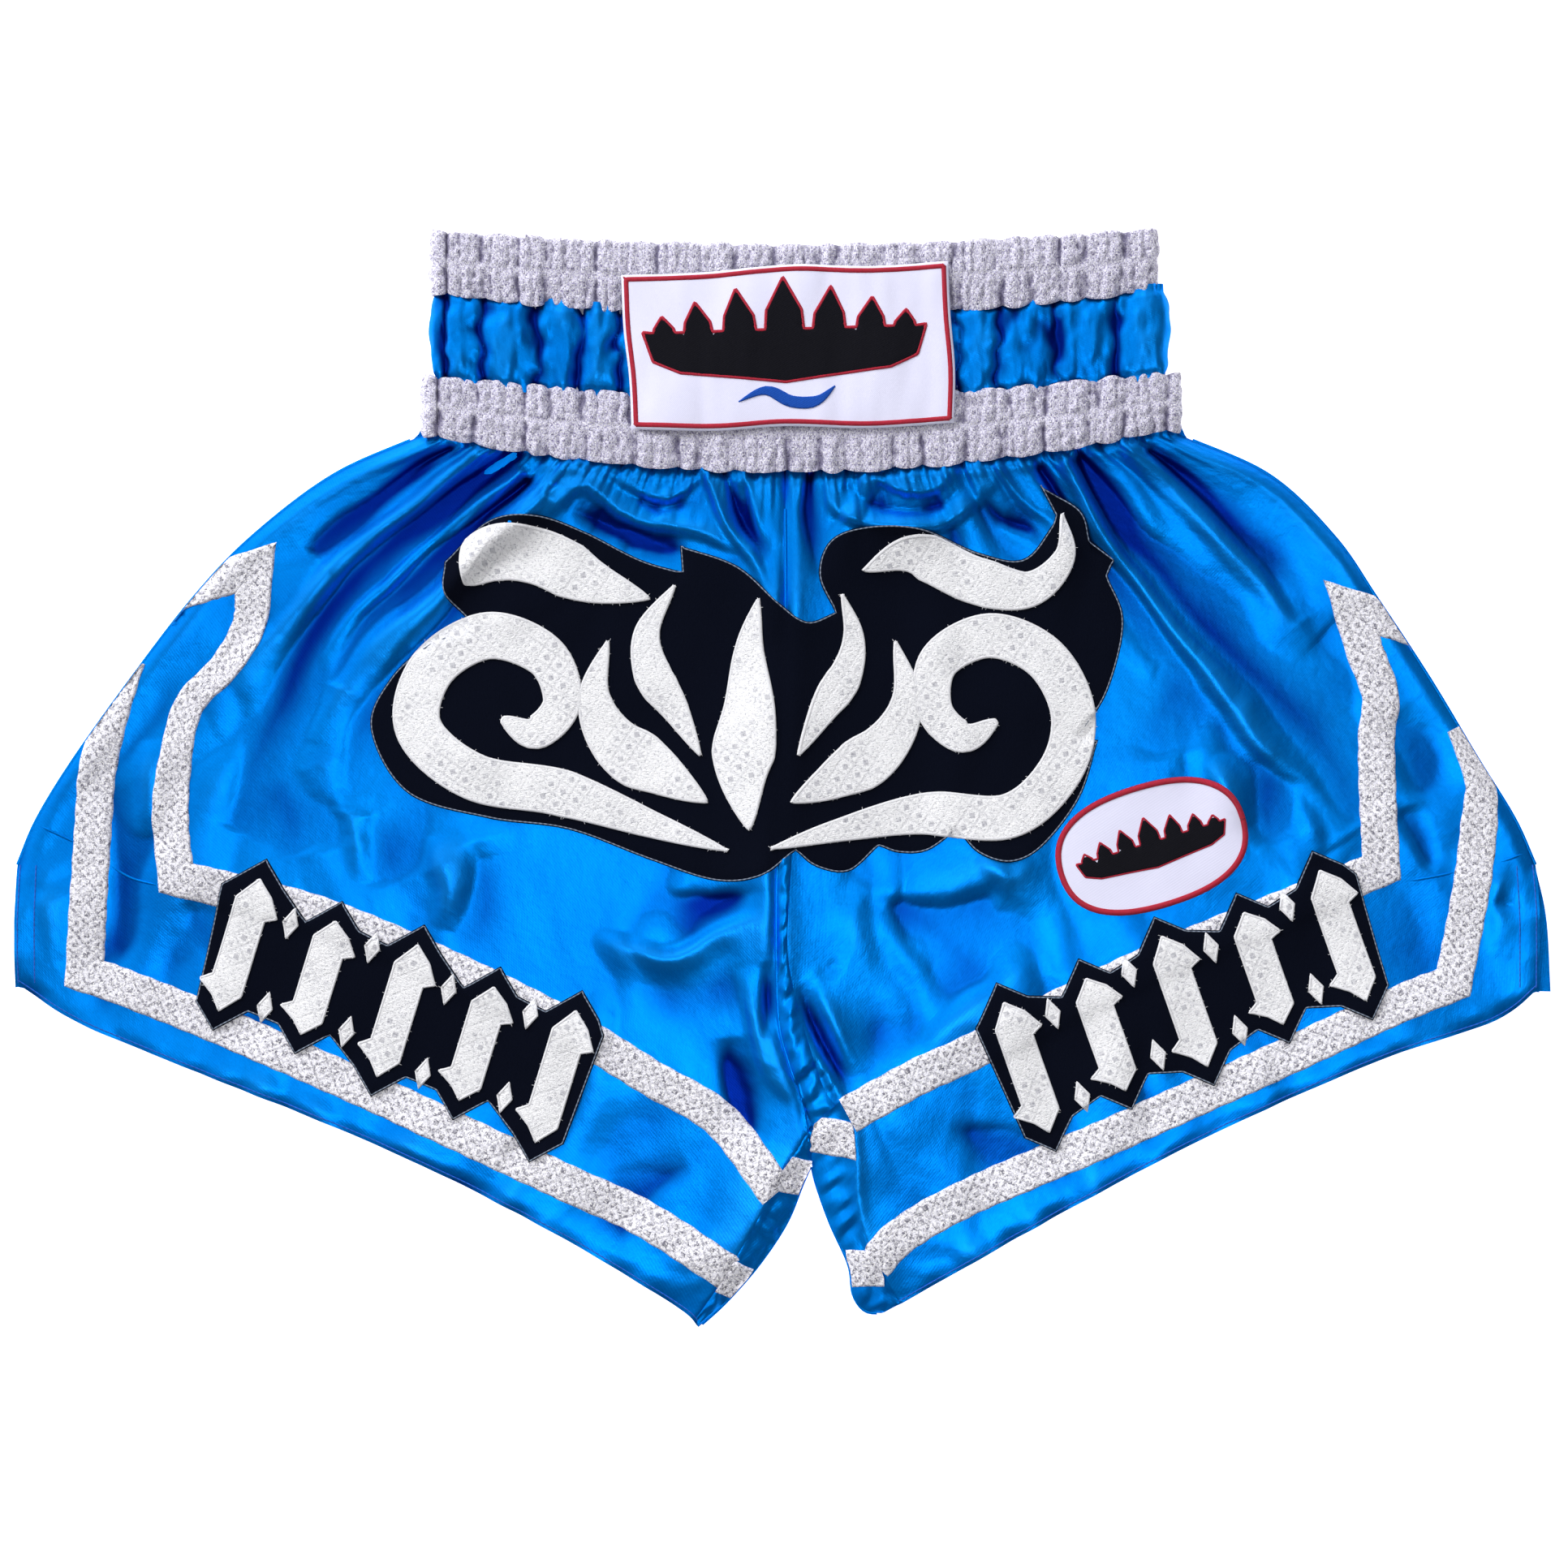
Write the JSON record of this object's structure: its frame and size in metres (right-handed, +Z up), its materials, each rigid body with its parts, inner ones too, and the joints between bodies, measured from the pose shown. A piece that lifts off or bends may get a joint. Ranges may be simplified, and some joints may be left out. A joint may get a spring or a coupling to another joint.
{
  "type": "boxing shorts",
  "caption": "Muay Thai style boxing shorts laid flat: satin body, wide gathered elastic waistband, brocade tapes at the hems and side vents, applique ornaments.",
  "frame": {"origin": "under the middle of the laid-out shorts, on the surface they lie on", "axes": "+Z up from that surface, +Y from the legs towards the waist, +X towards the wearer's left; the front faces up"},
  "size_m": [0.664, 0.4722, 0.0179],
  "materials": {
    "satin": "glossy bright blue polyester satin",
    "brocade": "silver-white jacquard ribbon with a diamond lattice",
    "elastic": "woven white elastic",
    "lining": "plain light grey lining cloth",
    "black_felt": "matt black felt",
    "white_applique": "white embroidered applique cloth",
    "white_twill": "white woven twill",
    "red_thread": "red satin stitch",
    "black_thread": "black satin stitch",
    "blue_thread": "blue satin stitch"
  },
  "bodies": {
    "root": {"back_hem_left": "satin", "back_hem_right": "satin", "back_panel_left": "satin", "back_panel_right": "satin", "back_tape_inner_left": "brocade", "back_tape_inner_right": "brocade", "back_tape_outer_left": "brocade", "back_tape_outer_right": "brocade", "centre_back_seam": "satin", "centre_front_seam": "satin", "elastic_bottom": "elastic", "elastic_middle": "elastic", "elastic_top": "elastic", "front_hem_left": "satin", "front_hem_right": "satin", "front_panel_left": "satin", "front_panel_right": "satin", "front_tape_inner_left": "brocade", "front_tape_inner_right": "brocade", "front_tape_outer_left": "brocade", "front_tape_outer_right": "brocade", "inseam_left": "satin", "inseam_right": "satin", "leg_applique_left_backing": "black_felt", "leg_applique_left_blade_1": "white_applique", "leg_applique_left_blade_2": "white_applique", "leg_applique_left_blade_3": "white_applique", "leg_applique_left_blade_4": "white_applique", "leg_applique_left_blade_5": "white_applique", "leg_applique_right_backing": "black_felt", "leg_applique_right_blade_1": "white_applique", "leg_applique_right_blade_2": "white_applique", "leg_applique_right_blade_3": "white_applique", "leg_applique_right_blade_4": "white_applique", "leg_applique_right_blade_5": "white_applique", "main_applique_backing": "black_felt", "main_applique_flame_1": "white_applique", "main_applique_flame_2": "white_applique", "main_applique_flame_3": "white_applique", "main_applique_flame_4": "white_applique", "main_applique_flame_5": "white_applique", "main_applique_flame_6": "white_applique", "main_applique_flame_7": "white_applique", "main_applique_flame_8": "white_applique", "main_applique_flame_9": "white_applique", "oval_patch": "white_twill", "oval_patch_border": "red_thread", "oval_patch_crown": "black_thread", "oval_patch_crown_edge": "red_thread", "side_seam_left": "satin", "side_seam_right": "satin", "waist_label": "white_twill", "waist_label_border": "red_thread", "waist_label_crown": "black_thread", "waist_label_crown_edge": "red_thread", "waist_label_flourish": "blue_thread", "waistband_bottom_band": "brocade", "waistband_lining": "lining", "waistband_middle_band": "satin", "waistband_top_band": "brocade"}
  },
  "joints": []
}
